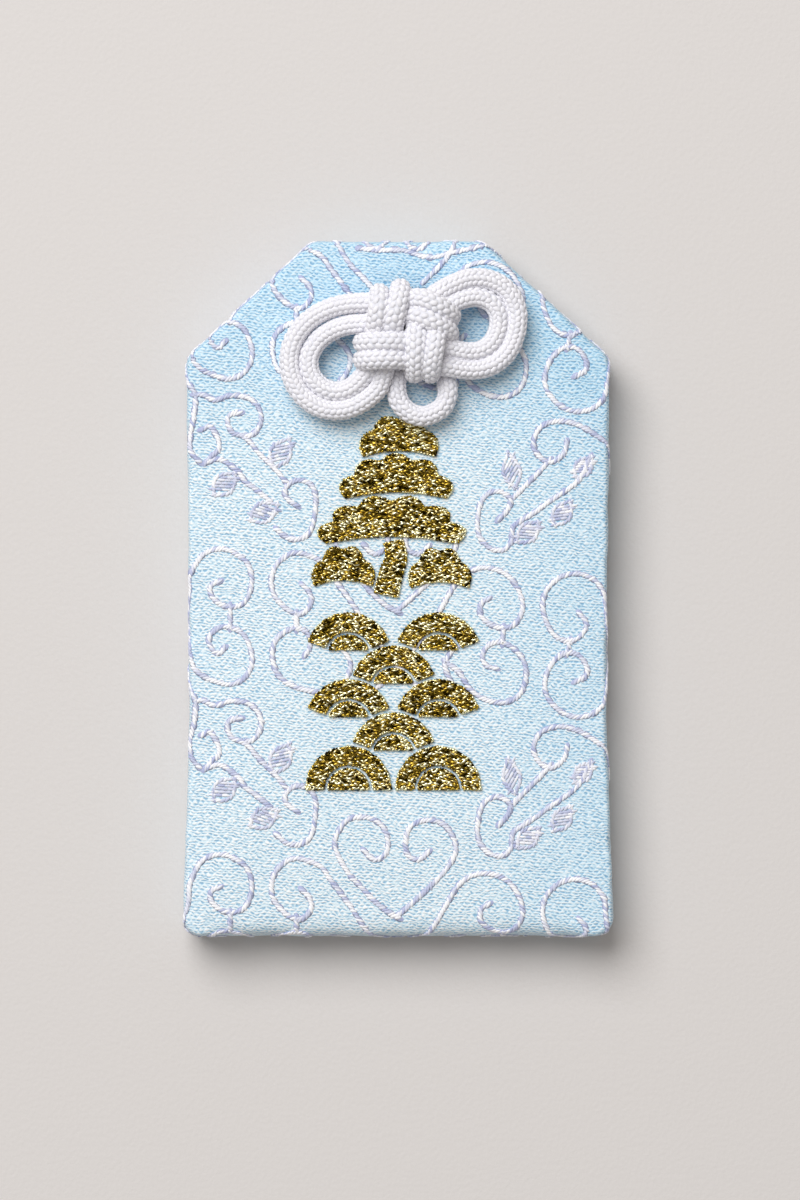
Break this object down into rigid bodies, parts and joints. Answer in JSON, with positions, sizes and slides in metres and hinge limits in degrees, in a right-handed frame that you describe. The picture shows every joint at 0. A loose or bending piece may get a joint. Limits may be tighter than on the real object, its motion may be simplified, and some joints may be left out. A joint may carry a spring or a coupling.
{
  "type": "omamori charm",
  "caption": "Flat pale blue brocade charm pouch with gold embroidery, sewn shut round a wrapped wooden tablet, with a knot of white braided cord that turns and lifts on its legs.",
  "frame": {"origin": "under the middle of the pouch, on the surface that the charm lies on", "axes": "+Z out of the front face, +Y from the bottom fold to the mouth, +X to the right seen from the front"},
  "size_m": [0.0466, 0.0752, 0.0135],
  "materials": {
    "pale_blue_brocade": "satin brocade with short wavy floats and lavender scrolls",
    "interlining": "matte non-woven",
    "greyboard": "matte",
    "wadding": "fluffy",
    "sewing_thread": "spun polyester",
    "cypress": "planed, bare",
    "washi": "matte, fibrous",
    "red_paper": "matte",
    "gold_thread": "metallic couched thread",
    "white_cord": "matte round braid"
  },
  "bodies": {
    "pouch": {"brocade_strip": "pale_blue_brocade", "interlining_strip": "interlining", "stiffener_card": "greyboard", "wadding_pad": "wadding", "left_seam_thread": "sewing_thread", "right_seam_thread": "sewing_thread", "mouth_seam_thread": "sewing_thread", "eyelet_stitching": "sewing_thread", "pine_trunk": "gold_thread", "pine_top_tuft": "gold_thread", "pine_wide_tuft": "gold_thread", "pine_middle_tuft": "gold_thread", "pine_left_tuft": "gold_thread", "pine_right_tuft": "gold_thread", "wave_1_left_band": "gold_thread", "wave_1_left_dome": "gold_thread", "wave_1_right_band": "gold_thread", "wave_1_right_dome": "gold_thread", "wave_2_middle_band": "gold_thread", "wave_2_middle_dome": "gold_thread", "wave_3_left_band": "gold_thread", "wave_3_left_dome": "gold_thread", "wave_3_right_band": "gold_thread", "wave_3_right_dome": "gold_thread", "wave_4_middle_band": "gold_thread", "wave_4_middle_dome": "gold_thread", "wave_5_left_band": "gold_thread", "wave_5_left_dome": "gold_thread", "wave_5_right_band": "gold_thread", "wave_5_right_dome": "gold_thread"},
    "tails": {"cord_tails": "white_cord"},
    "knot": {"knot_cord": "white_cord"},
    "talisman": {"talisman_tablet": "cypress", "talisman_wrapper": "washi", "wrapper_band": "red_paper"}
  },
  "joints": [
    {"name": "knot_swivel", "type": "hinge", "parent": "pouch", "child": "tails", "pos_m": [0.00126, 0.0311, 0.007], "axis": [0, 0, 1], "range_deg": [-25, 25]},
    {"name": "knot_lift", "type": "hinge", "parent": "tails", "child": "knot", "pos_m": [0.00126, 0.0311, 0.0081], "axis": [-0.9767, -0.2147, 0], "range_deg": [0, 50]},
    {"name": "talisman_slide", "type": "slide", "parent": "pouch", "child": "talisman", "axis": [0, 1, 0], "range_m": [0, 0.004]}
  ]
}
